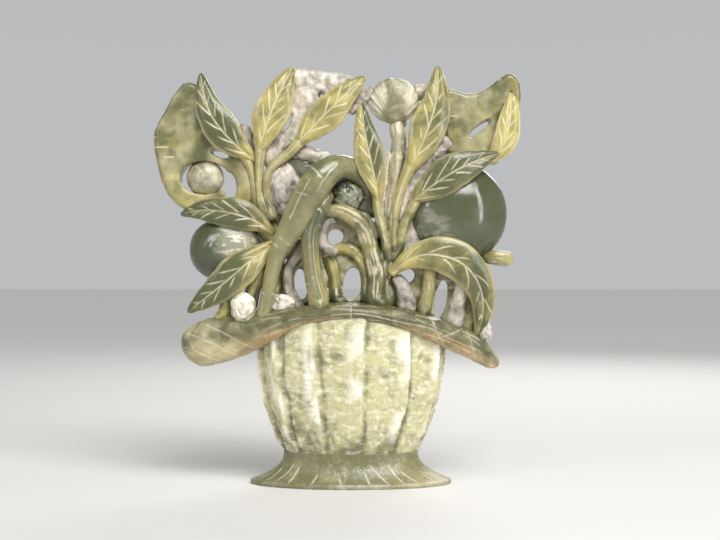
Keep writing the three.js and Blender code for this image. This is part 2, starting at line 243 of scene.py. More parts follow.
def distances(links, start):
    """How far every point is from the start, going from neighbour to neighbour."""
    far = [math.inf] * len(links)
    far[start] = 0.0
    queue = [(0.0, start)]
    while queue:
        done, at = heapq.heappop(queue)
        if done > far[at]:
            continue
        for to, gap in links[at]:
            if done + gap < far[to]:
                far[to] = done + gap
                heapq.heappush(queue, (far[to], to))
    return np.array(far)


def end_to_end(points):
    """Each point's share of the way from the cloud's end nearest the heart to its far end."""
    links = near_links(points)
    outermost = int(np.argmax(np.linalg.norm(points - points.mean(axis=0), axis=1)))
    one_end = int(np.argmax(distances(links, outermost)))
    far = distances(links, one_end)
    other_end = int(np.argmax(far))
    share = far / far[other_end]
    if np.linalg.norm(points[other_end] - HEART) < np.linalg.norm(points[one_end] - HEART):
        share = 1 - share
    return share


class Midline:
    """The middle line of a long CAD node, with the node's measured reach around it.

    smoothing is how far along the line each measurement is averaged. Except in a node that
    runs along X, which is sliced straight across X, it has to be more than the node's half
    width, or the slices that it averages cross each other.
    """

    SAMPLES = 60

    def __init__(self, node, smoothing, runs_along_x=False, run_on=OVERLAP):
        mesh = remeshed(node, MEASURE_VOXEL)
        self.cloud = positions(mesh)
        bpy.data.meshes.remove(mesh)
        if runs_along_x:
            share = (self.cloud[:, 0] - self.cloud[:, 0].min()) / np.ptp(self.cloud[:, 0])
        else:
            share = end_to_end(self.cloud)
        self.smoothing = smoothing
        rough_length = np.ptp(self.cloud, axis=0).max()
        where = np.linspace(0, 1, self.SAMPLES)
        self.curve = local_fit(where, share, self.cloud, smoothing / rough_length)
        if not runs_along_x:
            share = where[self.nearest(self.curve)]
            self.curve = local_fit(where, share, self.cloud, smoothing / rough_length)
        self.space_evenly(run_on)

    def nearest(self, curve):
        gaps = np.linalg.norm(self.cloud[:, None] - curve[None], axis=2)
        return np.argmin(gaps, axis=1)

    def space_evenly(self, run_on):
        """Spaces the samples evenly. The line runs on at both ends, by run_on at the far one."""
        start = self.curve[0] - self.curve[2]
        end = self.curve[-1] - self.curve[-3]
        start *= OVERLAP / np.linalg.norm(start)
        end *= run_on / np.linalg.norm(end)
        curve = np.vstack([self.curve[0] + start, self.curve, self.curve[-1] + end])
        steps = np.linalg.norm(np.diff(curve, axis=0), axis=1)
        along = np.concatenate([[0], np.cumsum(steps)])
        self.length = along[-1]
        self.arc = np.linspace(0, self.length, 2 * self.SAMPLES)
        self.curve = np.stack([np.interp(self.arc, along, curve[:, axis]) for axis in range(3)], axis=1)
        self.slope = np.gradient(self.curve, self.arc, axis=0)
        place = self.nearest(self.curve)
        self.cloud_arc = self.arc[place]
        point, _, side, ahead = self.at(self.cloud_arc)
        out = self.cloud - point
        self.cloud_side = np.sum(out * side, axis=1)
        self.cloud_ahead = np.sum(out * ahead, axis=1)

    def at(self, arc):
        """Points on the line, and the line's own direction, side and front there."""
        point = np.stack([np.interp(arc, self.arc, self.curve[:, axis]) for axis in range(3)], axis=1)
        slope = np.stack([np.interp(arc, self.arc, self.slope[:, axis]) for axis in range(3)], axis=1)
        tangent = slope / np.linalg.norm(slope, axis=1, keepdims=True)
        side = np.cross(tangent, FRONT)
        side /= np.linalg.norm(side, axis=1, keepdims=True)
        return point, tangent, side, np.cross(side, tangent)

    def reach(self, values, percentile=96):
        """How far the node reaches at any length along the line: a percentile of what is near."""
        window = 4 * MM
        stations = np.linspace(0, self.length, 30)
        found = []
        for station in np.clip(stations, self.cloud_arc.min(), self.cloud_arc.max()):
            close = np.abs(self.cloud_arc - station) < window
            found.append(np.percentile(values[close], percentile))
        smoothed = local_fit(stations, stations, np.array(found), self.smoothing)
        return lambda arc: np.interp(arc, stations, smoothed)

    def radius(self):
        """The radius of a round stem at any length along it."""
        return self.reach(np.hypot(self.cloud_side, self.cloud_ahead), percentile=70)


def rounded_ends(arc, length, reach):
    """How far a swept form has swelled to its full section, from about 0.14 at each of its ends."""
    from_end = np.minimum(arc, length - arc)
    short = np.clip(1 - from_end / reach, 0, 1)
    return np.sqrt(1 - 0.98 * short**2)


def swept_rings(line, arc, across, ahead):
    """Rings of points from how far each lies to the side of and in front of the line."""
    point, _, side, front = line.at(arc)
    return point[:, None] + side[:, None] * across[..., None] + front[:, None] * ahead[..., None]


def around(sides):
    return np.linspace(0, 2 * math.pi, sides, endpoint=False)[None, :]


# ---------------------------------------------------------------- materials


class Jade:
    """A jade material: a node tree, with short ways of adding nodes to it."""

    def __init__(self, name):
        self.material = bpy.data.materials.new(name)
        self.material.use_nodes = True
        self.tree = self.material.node_tree
        self.surface = self.tree.nodes["Principled BSDF"]
        self.place = self.tree.nodes.new("ShaderNodeTexCoord").outputs["Object"]

    def attribute(self, name):
        node = self.tree.nodes.new("ShaderNodeAttribute")
        node.attribute_name = name
        return node.outputs["Fac"]

    def noise(self, size, detail=4.0, distortion=0.0, stretch=(1, 1, 1)):
        """Noise around 0.5, with blobs of about the given size in metres."""
        mapping = self.tree.nodes.new("ShaderNodeMapping")
        mapping.inputs["Scale"].default_value = [1 / (size * each) for each in stretch]
        self.tree.links.new(self.place, mapping.inputs["Vector"])
        node = self.tree.nodes.new("ShaderNodeTexNoise")
        node.inputs["Scale"].default_value = 1.0
        node.inputs["Detail"].default_value = detail
        node.inputs["Distortion"].default_value = distortion
        self.tree.links.new(mapping.outputs["Vector"], node.inputs["Vector"])
        return node.outputs["Fac"]

    def connect(self, value, socket):
        """Links a socket to another's output, or sets it to a plain value."""
        if isinstance(value, bpy.types.NodeSocket):
            self.tree.links.new(value, socket)
        else:
            socket.default_value = value

    def math(self, operation, a, b):
        node = self.tree.nodes.new("ShaderNodeMath")
        node.operation = operation
        self.connect(a, node.inputs[0])
        self.connect(b, node.inputs[1])
        return node.outputs[0]

    def between(self, value, low, high, to_low=0.0, to_high=1.0):
        """Maps low..high smoothly to to_low..to_high, and holds the ends."""
        node = self.tree.nodes.new("ShaderNodeMapRange")
        node.interpolation_type = "SMOOTHSTEP"
        self.connect(value, node.inputs["Value"])
        node.inputs["From Min"].default_value = low
        node.inputs["From Max"].default_value = high
        node.inputs["To Min"].default_value = to_low
        node.inputs["To Max"].default_value = to_high
        return node.outputs["Result"]

    def mix(self, amount, first, second):
        """Blends two colours, each an output or an (r, g, b)."""
        node = self.tree.nodes.new("ShaderNodeMix")
        node.data_type = "RGBA"
        self.connect(amount, node.inputs["Factor"])
        for colour, socket in ((first, node.inputs["A"]), (second, node.inputs["B"])):
            self.connect((*colour, 1.0) if isinstance(colour, tuple) else colour, socket)
        return node.outputs["Result"]

    def bump(self, height, depth, under=None):
        node = self.tree.nodes.new("ShaderNodeBump")
        node.inputs["Distance"].default_value = depth
        self.tree.links.new(height, node.inputs["Height"])
        if under is not None:
            self.tree.links.new(under, node.inputs["Normal"])
        return node.outputs["Normal"]


def mottled(stone, yellow, green, pale, cloud, veil):
    """The stone's own colour: yellow to green as painted, clouded, and flecked where it is yellow."""
    clouds = stone.noise(11 * MM, detail=6.0, distortion=0.9)
    flecks = stone.noise(2.6 * MM, detail=5.0, distortion=0.4)
    shift = stone.between(clouds, 0.32, 0.68, -cloud, cloud)
    greenness = stone.math("ADD", stone.attribute("green"), shift)
    greenness = stone.between(greenness, 0.0, 1.0)
    colour = stone.mix(greenness, yellow, green)
    flecking = stone.between(flecks, 0.48, 0.72, 0.0, veil)
    flecking = stone.math("MULTIPLY", flecking, stone.between(greenness, 0.2, 1.0, 1.0, 0.15))
    return stone.mix(flecking, colour, pale)


def jade(slot, yellow, green, pale, tan, polish, frost, glow, cloud, veil, grain):
    """A jade finish from its yellow, green, frosted and stained colours; the frosted colour also shows
    painted highlights.

    polish: roughness where polished. frost: roughness where engraved. glow: how much light
    passes into the stone. cloud: how strongly yellow and green are mottled. veil: how strongly
    pale flecks drift through it. grain: the depth of its fine grain in millimetres.
    """
    stone = Jade(slot)
    fibres = stone.noise(1.1 * MM, detail=3.0, stretch=(1.0, 1.0, 3.5))
    colour = mottled(stone, yellow, green, pale, cloud, veil)
    stain = stone.math("MULTIPLY", stone.attribute("stain"), stone.between(fibres, 0.3, 0.6, 0.45, 1.0))
    colour = stone.mix(stain, colour, tan)
    broken = stone.between(fibres, 0.25, 0.6, 0.72, 1.0)
    # The pale attribute holds frost and also painted highlights; both are mixed in and roughened alike.
    whitening = stone.math("MULTIPLY", stone.attribute("pale"), broken)
    colour = stone.mix(whitening, colour, pale)
    stone.connect(colour, stone.surface.inputs["Base Color"])

    roughness = stone.between(whitening, 0.0, 0.8, polish, frost)
    wear = stone.between(stone.noise(5 * MM, detail=5.0), 0.35, 0.7, -0.03, 0.1)
    stone.connect(stone.math("ADD", roughness, wear), stone.surface.inputs["Roughness"])

    waves = stone.bump(stone.noise(3.2 * MM, detail=2.0), grain * 2.2 * MM)
    fine_noise = stone.noise(0.7 * MM, detail=3.0, stretch=(1.0, 1.0, 2.0))
    stone.connect(stone.bump(fine_noise, grain * MM, under=waves), stone.surface.inputs["Normal"])

    stone.surface.inputs["IOR"].default_value = 1.58
    stone.surface.inputs["Subsurface Weight"].default_value = glow
    stone.surface.inputs["Subsurface Radius"].default_value = (1.0, 1.1, 0.55)
    stone.surface.inputs["Subsurface Scale"].default_value = 2.2 * MM
    return stone.material


MATERIALS = {
    "basket_jade": jade(
        "basket_jade", yellow=(0.58, 0.55, 0.31), green=(0.17, 0.17, 0.08), pale=(0.92, 0.89, 0.76),
        tan=(0.60, 0.46, 0.24), polish=0.24, frost=0.5, glow=0.3, cloud=0.3, veil=0.5, grain=0.2,
    ),
    "rim_jade": jade(
        "rim_jade", yellow=(0.56, 0.51, 0.29), green=(0.11, 0.11, 0.046), pale=(0.82, 0.76, 0.58),
        tan=(0.60, 0.42, 0.21), polish=0.24, frost=0.55, glow=0.2, cloud=0.25, veil=0.3, grain=0.12,
    ),
    "dark_jade": jade(
        "dark_jade", yellow=(0.28, 0.27, 0.13), green=(0.075, 0.088, 0.042), pale=(0.66, 0.64, 0.55),
        tan=(0.45, 0.37, 0.15), polish=0.12, frost=0.5, glow=0.12, cloud=0.12, veil=0.1, grain=0.006,
    ),
    "leaf_jade": jade(
        "leaf_jade", yellow=(0.47, 0.40, 0.14), green=(0.095, 0.105, 0.04), pale=(0.88, 0.80, 0.56),
        tan=(0.56, 0.42, 0.17), polish=0.22, frost=0.55, glow=0.2, cloud=0.2, veil=0.12, grain=0.06,
    ),
    "stem_jade": jade(
        "stem_jade", yellow=(0.41, 0.36, 0.155), green=(0.10, 0.105, 0.045), pale=(0.80, 0.74, 0.56),
        tan=(0.58, 0.42, 0.16), polish=0.24, frost=0.55, glow=0.2, cloud=0.25, veil=0.2, grain=0.09,
    ),
    "pale_jade": jade(
        "pale_jade", yellow=(0.52, 0.48, 0.32), green=(0.21, 0.20, 0.11), pale=(0.86, 0.83, 0.72),
        tan=(0.58, 0.46, 0.26), polish=0.28, frost=0.58, glow=0.25, cloud=0.3, veil=0.4, grain=0.12,
    ),
    "rough_jade": jade(
        "rough_jade", yellow=(0.52, 0.47, 0.36), green=(0.17, 0.155, 0.125), pale=(0.82, 0.77, 0.69),
        tan=(0.46, 0.38, 0.26), polish=0.34, frost=0.6, glow=0.15, cloud=0.35, veil=0.4, grain=0.22,
    ),
}


def place_piece(node, mesh):
    """Stands a finished mesh in for its CAD node, with the material of the node's slot."""
    piece = link(node + "_stone", mesh)
    mesh.materials.append(MATERIALS[SLOTS[node]])
    shade_smooth(mesh)
    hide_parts(node)
    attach(piece, "root")
    return piece


def seed_of(node):
    """A different, fixed seed for every node."""
    return sum((place + 1) * ord(letter) for place, letter in enumerate(node)) % 9973


# ---------------------------------------------------------------- stems


def stem(node, green=0.4, waviness=0.08, scratches=0.6):
    """A carved stem: a slightly squared bar with chisel facets and strokes, yellower at its far end, and
    greener on its back as painted shade.
    """
    line = Midline(node, smoothing=7 * MM)
    seed = seed_of(node)
    arc = np.linspace(0, line.length, max(12, int(line.length / RING_SPACING)))
    share = (arc / line.length)[:, None]
    angle = around(STEM_SIDES)
    radius = line.radius()(arc)[:, None] * 1.03
    swell = rounded_ends(arc, line.length, 0.8 * radius.mean())[:, None]
    rows = np.broadcast_to(arc[:, None], (len(arc), STEM_SIDES))
    squarer = 1 + 0.07 * np.cos(4 * angle + 0.5 * seed)
    drawn_out = np.stack([rows * 0.35, radius * np.cos(angle), radius * np.sin(angle)], axis=-1)
    facets = rough(drawn_out, 3 * MM, seed)
    lengthwise = np.stack([rows * 0.14, radius * np.cos(angle), radius * np.sin(angle)], axis=-1)
    strokes = smoothstep(0.14, 0.42, noise(lengthwise, STROKE_WIDTH, seed + 7))
    broken = smoothstep(-0.3, 0.3, noise(lengthwise * [7.0, 1.0, 1.0], 4 * MM, seed + 8))
    strokes = strokes * broken
    if node in LEAF_STEMS:
        midrib = ridge((angle - 0.5 * math.pi) * radius, MIDRIB_WIDTH) * smoothstep(0.25, 0.6, share)
        strokes = np.maximum(strokes, 1.3 * midrib)
    radius = radius * swell * squarer * (1 + waviness * facets) - STROKE_DEPTH * strokes
    rings = swept_rings(line, arc, radius * np.cos(angle), radius * np.sin(angle))
    mesh = tube_mesh(node, rings)
    # Painted shade: each stem is painted greener on its back, away from the light.
    painted_back_shade = 0.5 - 0.5 * np.sin(angle)
    tone = green + 0.6 * (0.5 - share) + 0.35 * painted_back_shade - 0.1 + 0.18 * noise(rings, 5 * MM, seed + 11)
    pale = strokes * np.clip(scratches * (1.4 - 0.8 * share), 0, 1)
    paint(mesh, pale=with_poles(pale), green=with_poles(tone, green))
    return place_piece(node, mesh)


# ---------------------------------------------------------------- handle

HANDLE_JOINT = 6 * MM  # how far the middle leg runs up into the limb
HANDLE_SINK = 6 * MM  # how far its top leans back to meet the limb's middle
# Ring scratches round the handle, as shares of its length from its foot
HANDLE_SCRATCHES = {
    "handle_limb": (0.08, 0.11, 0.3, 0.33, 0.52, 0.55, 0.58, 0.61),
    "handle_mid_leg": (0.1, 0.25, 0.31, 0.36, 0.7),
}


def handle_radius(line, arc, joins):
    """The limb tapers to its foot. The middle leg swells where it meets the limb and the rim."""
    share = (arc / line.length)[:, None]
    radius = line.radius()(arc)[:, None] * 1.04
    if joins:
        return radius * (1 + 0.3 * smoothstep(0.5, 0.85, share) + 0.2 * (1 - smoothstep(0.0, 0.15, share)))
    return radius * (0.8 + 0.26 * smoothstep(0.05, 0.5, share))


def handle(node):
    """A polished round limb of the handle, with pale ring scratches. The middle leg joins the limb, and has
    a painted highlight down its front.
    """
    joins = node == "handle_mid_leg"
    line = Midline(node, smoothing=12 * MM, run_on=HANDLE_JOINT if joins else OVERLAP)
    seed = seed_of(node)
    arc = np.linspace(0, line.length, int(line.length / RING_SPACING))
    share = (arc / line.length)[:, None]
    angle = around(HANDLE_SIDES)
    radius = handle_radius(line, arc, joins)
    swell = rounded_ends(arc, line.length, 2.5 * MM)[:, None]
    rings = swept_rings(line, arc, radius * np.cos(angle), radius * np.sin(angle))
    undulation = noise(rings, 9 * MM, seed) * 0.06 + noise(rings, 3.5 * MM, seed + 1) * 0.02
    cuts = np.zeros_like(undulation)
    for place in HANDLE_SCRATCHES[node]:
        wander = 0.5 * MM * np.sin(angle * 2 + place * 40)
        cuts = np.maximum(cuts, ridge(arc[:, None] - place * line.length + wander, RING_CUT_WIDTH))
    patchy = smoothstep(-0.1, 0.4, noise(rings, 3 * MM, seed + 2))
    radius = radius * swell * (1 + undulation) - RING_CUT_DEPTH * cuts * patchy
    rings = swept_rings(line, arc, radius * np.cos(angle), radius * np.sin(angle))
    if joins:
        rings[..., 1] += HANDLE_SINK * smoothstep(line.length - 2 * HANDLE_JOINT, line.length, arc)[:, None]
    mesh = tube_mesh(node, rings)

    pale = 0.75 * cuts * patchy
    # On the middle leg, a pale streak down the front is a painted highlight.
    if joins:
        front = ridge((angle - 0.5 * math.pi) * radius, 1.3 * MM)
        wear_and_glint = front * smoothstep(0.08, 0.25, share) * (1 - smoothstep(0.6, 0.85, share))
        pale = np.maximum(pale, 0.6 * wear_and_glint * (0.4 + 0.6 * patchy))
    tone = 0.18 + 0.4 * smoothstep(0.2, 0.6, share) + 0.3 * noise(rings, 9 * MM, seed + 3)
    flanks = smoothstep(-0.1, 1.0, np.abs(np.cos(angle))) * (1 - smoothstep(0.3, 0.75, share))
    stain = flanks * (0.9 if joins else 0.3) * (0.8 + 0.4 * noise(rings, 5 * MM, seed + 4))
    paint(mesh, pale=with_poles(pale), green=with_poles(tone, 0.3), stain=with_poles(stain))
    return place_piece(node, mesh)


# ---------------------------------------------------------------- leaves

# How green each leaf is on its two halves, from yellow at 0, and how pale its edge
LEAF_TONES = {
    "leaf_upper_left": (0.9, 0.9, 0.3),
    "leaf_top_left": (0.3, 0.4, 0.3),
    "leaf_top_middle": (0.4, 0.3, 0.2),
    "leaf_centre": (0.3, 0.85, 0.3),
    "leaf_top_right": (0.4, 0.6, 0.15),
    "leaf_right_edge": (0.05, 0.2, 0.5),
    "leaf_over_right_peach": (1.0, 0.85, 0.1),
    "leaf_lower_right": (0.7, 0.6, 0.15),
    "leaf_over_left_peach": (1.0, 0.95, 0.1),
    "leaf_lower_left": (0.7, 0.95, 0.15),
}
LEAF_WIDEST = 0.44  # of the way from a leaf's base to its tip
LEAF_BASE = 0.2  # its width where it leaves the stem, as a share of its widest


def leaf_outline(share):
    """Half a leaf's width along it, as a share of its widest: a tapered base, a small blunt tip."""
    opening = np.sin(0.5 * math.pi * np.clip(share / LEAF_WIDEST, 0, 1)) ** 1.2
    closing = 1 - 0.88 * np.clip((share - LEAF_WIDEST) / (1 - LEAF_WIDEST), 0, 1) ** 1.55
    blunt_end = np.sqrt(1 - np.clip((share - 0.965) / 0.035, 0, 1) ** 2)
    return np.where(share < LEAF_WIDEST, LEAF_BASE + (1 - LEAF_BASE) * opening, closing * blunt_end)


def veins(arc, across, length, half_width, seed):
    """How strongly the side veins are cut at each place on a leaf, from 0 to 1."""
    left = across < 0
    out = np.abs(across)
    reach = out / half_width
    spacing = VEINED_SHARE * length / VEIN_SPACES
    root = arc - VEIN_SLANT * out - np.where(left, -0.25, 0.2) * spacing
    number = np.round(root / spacing)
    own = number * 12.9898 + left * 4.1 + seed
    gap = np.abs(root - number * spacing - 0.12 * spacing * np.sin(own)) / math.hypot(1, VEIN_SLANT)
    first = 0.08 + 0.1 * np.sin(own * 1.7)
    last = 0.68 + 0.2 * np.sin(own * 2.3)
    width = VEIN_WIDTH * (0.5 + 0.6 * ridge(reach - 0.35, 0.9))
    on_rib = (number * spacing > -0.1 * length) & (number * spacing < 0.8 * length)
    drawn = smoothstep(first - 0.05, first, reach) * (1 - smoothstep(last - 0.2, last, reach))
    return ridge(gap, width) * on_rib * drawn * (0.8 + 0.2 * np.sin(own * 3.1))


def leaf(node):
    """A carved leaf: crisp edged, cut with a midrib and side veins that are left frosted."""
    line = Midline(node, smoothing=13 * MM)
    seed = seed_of(node)
    half_width = np.percentile(np.abs(line.cloud_side), 98.5) * 1.04
    thickness = np.percentile(line.cloud_ahead, 97) - np.percentile(line.cloud_ahead, 3)

    arc = np.linspace(0, line.length, int(line.length / RING_SPACING))
    share = (arc / line.length)[:, None]
    angle = around(LEAF_SIDES)
    rows = np.broadcast_to(arc[:, None], (len(arc), LEAF_SIDES))
    outline = np.maximum(leaf_outline(share), 0.03)
    turn = np.sign(np.cos(angle))
    ripple = 1 + 0.035 * np.sin(share * 13 + seed + 2 * turn) + 0.015 * np.sin(share * 41 + seed * turn)
    half = half_width * outline * ripple
    across = half * np.cos(angle)
    out = np.abs(np.cos(angle))
    front = smoothstep(0.0, 0.25, np.sin(angle))

    ends = np.minimum(outline * 2.4, 1)
    body = np.sign(np.sin(angle)) * np.abs(np.sin(angle)) ** 0.45 * thickness * 0.36 * ends
    cup = -0.22 * thickness * out**2 * ends
    valley = 0.8 * MM * smoothstep(0.0, 0.5, out) * ends
    facets = 0.4 * MM * noise(np.stack([rows * 0.7, across, across * 0], axis=-1), 7 * MM, seed + 5)
    cut = veins(rows, across, line.length, half, seed) * front
    midrib = ridge(across, MIDRIB_WIDTH) * front * (1 - smoothstep(0.93, 0.98, share))
    ahead = body + cup + (valley + facets) * front - VEIN_DEPTH * cut - MIDRIB_DEPTH * midrib
    rings = swept_rings(line, arc, across, ahead)
    mesh = tube_mesh(node, rings)

    lines = np.maximum(0.85 * midrib, cut) * (0.8 + 0.2 * noise(rings, 2 * MM, seed + 1))
    paint_leaf(mesh, node, rings, share, out, across / half, lines, front)
    return place_piece(node, mesh)


def paint_leaf(mesh, node, rings, share, out, to_side, lines, front):
    """A shade of green on each half, yellower at the stem and edge, with frosted veins, a frosted edge and
    a painted highlight along the very edge.
    """
    seed = seed_of(node)
    green_before, green_after, edge_paleness = LEAF_TONES[node]
    edge = edge_paleness * smoothstep(0.75, 0.96, out)
    # A painted highlight along the very edge of the leaf.
    lit_edge = 0.4 * smoothstep(0.95, 1.0, out)
    side = smoothstep(-0.25, 0.25, to_side)
    greenness = green_before + (green_after - green_before) * side
    blade = smoothstep(0.05, 0.4, share) * (1 - 0.45 * smoothstep(0.7, 1.0, out))
    tone = greenness * (0.25 + 0.95 * blade) + 0.2 * noise(rings * [1.0, 1.0, 0.6], 7 * MM, seed + 2)
    stain = 0.35 * smoothstep(0.75, 1.0, out) * smoothstep(-0.2, 0.5, noise(rings, 10 * MM, seed + 3))
    pale = np.maximum(lines, np.maximum(edge, lit_edge))
    paint(mesh, pale=with_poles(pale), green=with_poles(tone, 0.2), stain=with_poles(stain * front))


# ---------------------------------------------------------------- rim

# Engraved lines along the rim, from -1 at its top edge to 1 at its bottom edge
RIM_LINES = (-0.72, -0.38, 0.02, 0.42, 0.76)
# Where the rim is bound, as shares of its length, and which way each binding crosses it
RIM_BINDINGS = ((0.03, 1), (0.09, 1), (0.15, 1), (0.52, 0), (0.78, 1), (0.81, -1), (0.9, 1))


def rim_cuts(line, rows, down, tall, facing):
    """How strongly the reed lines and the bindings are cut at each place on the rim."""
    share = rows[:, :1] / line.length
    reeds = np.zeros_like(rows)
    for place in RIM_LINES:
        wander = 0.07 * np.sin(share * 31 + place * 9)
        reeds = np.maximum(reeds, ridge((down - place - wander) * tall, REED_WIDTH))
    bindings = np.zeros_like(rows)
    for place, slant in RIM_BINDINGS:
        across = rows - place * line.length - slant * 1.1 * down * tall
        bindings = np.maximum(bindings, ridge(across, BINDING_WIDTH))
    return reeds * smoothstep(0.16, 0.3, share) * facing, bindings * facing


def paint_rim(mesh, rings, share, down, reeds, bindings):
    """A yellow left end, a dark green middle, tan bands low on both sides, and dashed pale lines."""
    seed = seed_of("rim")
    dashes = smoothstep(-0.2, 0.2, noise(rings * [1.0, 0.4, 0.4], 2.6 * MM, seed + 4))
    pale = np.maximum(0.35 * reeds * dashes, 0.5 * bindings)
    green = smoothstep(0.1, 0.35, share) * (1 - 0.5 * smoothstep(0.8, 0.98, share))
    above = 0.4 * (1 - smoothstep(-0.6, 0.4, down)) * (1 - smoothstep(0.1, 0.3, share))
    tone = 0.25 + 0.95 * green + above + 0.2 * noise(rings, 7 * MM, seed + 5)
    left_band = ridge(share - 0.3, 0.36) * smoothstep(0.0, 0.6, down)
    right_band = smoothstep(0.6, 0.8, share) * smoothstep(-0.2, 0.5, down)
    stain = (left_band + right_band) * (0.75 + 0.4 * noise(rings, 4 * MM, seed + 6))
    paint(mesh, pale=with_poles(pale), green=with_poles(tone, 0.2), stain=with_poles(stain))


def rim():
    """The arched rim: a solid saddle with reed lines along it and bindings across them."""
    line = Midline("rim", smoothing=11 * MM, runs_along_x=True)
    arc = np.linspace(0, line.length, int(line.length / (1.15 * RING_SPACING)))
    angle = around(RIM_SIDES)
    tall = line.reach(np.abs(line.cloud_side))(arc)[:, None]
    deep = line.reach(np.abs(line.cloud_ahead))(arc)[:, None]
    swell = rounded_ends(arc, line.length, 5 * MM)[:, None]
    down = np.sign(np.cos(angle)) * np.abs(np.cos(angle)) ** 0.8
    fore = np.sign(np.sin(angle)) * np.abs(np.sin(angle)) ** 0.55
    rows = np.broadcast_to(arc[:, None], (len(arc), RIM_SIDES))
    facing = smoothstep(0.35, 0.9, np.abs(np.sin(angle)))
    reeds, bindings = rim_cuts(line, rows, down, tall, facing)
    relief = -REED_DEPTH * reeds - BINDING_DEPTH * bindings

    rings = swept_rings(line, arc, tall * swell * down, deep * swell * fore)
    chatter = 0.25 * MM * rough(rings, 5 * MM, seed_of("rim"))
    downward = tall * swell * down + chatter * down
    forward = deep * swell * fore + (relief + chatter) * np.sign(fore)
    rings = swept_rings(line, arc, downward, forward)
    mesh = tube_mesh("rim", rings)
    paint_rim(mesh, rings, (arc / line.length)[:, None], down, reeds, bindings)
    place_piece("rim", mesh)
    return line


# ---------------------------------------------------------------- basket and foot

LOBES = 12
FIRST_RIDGE = math.radians(-84)
GROOVE_PLACE = 0.16  # of the way from one ridge to the next
LOBE_HEIGHT = 2.5 * MM
GROOVE_DEPTH = 0.5 * MM
DENT_DEPTH = 0.75 * MM
BODY_FULL = 0.74  # the basket has its full width from this share of its height up


def neck_half_width():
    """Half the width of the basket where it meets the foot."""
    points = positions(frame["nodes"]["foot"].data)
    top = points[:, 2] > points[:, 2].max() - 0.1 * MM
    return np.abs(points[top, 0]).max()


def lobe_phase(angle):
    """How far each angle is from a ridge to the next one to the right, from 0 to 1."""
    return ((angle - FIRST_RIDGE) * LOBES / (2 * math.pi)) % 1.0


def lobes(angle, rows, seed):
    """How high the ribs stand and how deep the grooves lie at each place, both from 0 to 1."""
    spread = np.stack(np.broadcast_arrays(angle * 9, rows * 5, 0.0), axis=-1)
    phase = lobe_phase(angle + 0.035 * noise(spread, 1.0, seed + 9))
    rise = np.clip((phase - GROOVE_PLACE) / (1 - GROOVE_PLACE), 0, 1)
    fall = 1 - smoothstep(0.0, GROOVE_PLACE, phase)
    crest = np.where(phase < GROOVE_PLACE, fall, rise**1.6)
    return crest, ridge(phase - GROOVE_PLACE, 0.14)


def paint_basket(mesh, rings, bent, rows, crest, groove, dents):
    """Pale crests, frosted and with a painted highlight, and pale slashes; greener towards the neck, and
    greener in the grooves and the dents as painted shade.
    """
    seed = seed_of("basket_body")
    # The crests are pale as frost and as a painted highlight.
    crest_frost_and_highlight = smoothstep(0.45, 0.9, crest) * smoothstep(0.04, 0.25, rows) * (1 - smoothstep(0.85, 1.0, rows))
    patchy = smoothstep(-0.5, 0.3, rough(rings * [1.0, 1.0, 0.7], 8 * MM, seed + 4))
    slashes = smoothstep(0.05, 0.7, noise(bent * [0.8, 0.8, 2.0], 2.2 * MM, seed + 5)) * 0.4
    pale = np.maximum(crest_frost_and_highlight * patchy, slashes * (1 - 0.7 * groove))
    neckward = 1 - smoothstep(0.0, 0.4, rows)
    # Painted shade: the dents and the grooves are painted greener.
    shaded = 0.2 * smoothstep(0.0, 0.9, dents / DENT_DEPTH)
    mottling = 0.12 * noise(rings, 9 * MM, seed + 6) + 0.14 * rough(rings, 2.2 * MM, seed + 7)
    tone = 0.1 + 0.45 * neckward + 0.5 * groove + shaded + mottling
    paint(mesh, pale=with_poles(pale), green=with_poles(tone, 0.4))


def basket_body(rim_line):
    """The basket: twelve soft ribs, each falling off steeply into the groove on its right."""
    low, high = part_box("basket_body")
    seed = seed_of("basket_body")
    neck = neck_half_width()
    angle = around(BODY_SIDES)
    rows = np.linspace(0, 1, BODY_ROWS)[:, None]
    under_rim = np.interp(high.x * np.cos(angle), rim_line.curve[:, 0], rim_line.curve[:, 2])
    bottom = low.z - OVERLAP
    height = bottom + (under_rim - bottom) * rows
    swell = np.clip((height - low.z) / ((high.z - low.z) * BODY_FULL), 0, 1)
    radius = neck + (high.x - neck) * np.sin(swell * math.pi / 2)

    crest, groove = lobes(angle, rows, seed)
    tall = smoothstep(0.0, 0.16, rows) * (1 - 0.45 * smoothstep(0.85, 1.0, rows))
    radius = radius * 0.968 + (LOBE_HEIGHT * crest - GROOVE_DEPTH * groove) * tall
    direction = np.stack([np.cos(angle), high.y / high.x * np.sin(angle)], axis=-1)
    rings = np.concatenate([radius[..., None] * direction, height[..., None]], axis=-1)
    dents = np.abs(rough(rings * [0.8, 0.8, 1.5], 8 * MM, seed, octaves=4)) * DENT_DEPTH
    bend = np.stack([noise(rings, 7 * MM, seed + turn) for turn in (21, 22, 23)], axis=-1)
    bent = rings + 2.5 * MM * bend
    strokes = noise(bent * [0.8, 0.8, 2.0], 2.4 * MM, seed + 3) * 0.2 * MM
    rings[..., :2] += ((strokes - dents) * tall)[..., None] * direction
    mesh = tube_mesh("basket_body", rings)
    paint_basket(mesh, rings, bent, rows, crest, groove, dents)
    place_piece("basket_body", mesh)


FOOT_SCRATCHES = 26
FOOT_EDGE = 1.6 * MM  # the height of its upright edge
FOOT_BEVEL = 0.35 * MM


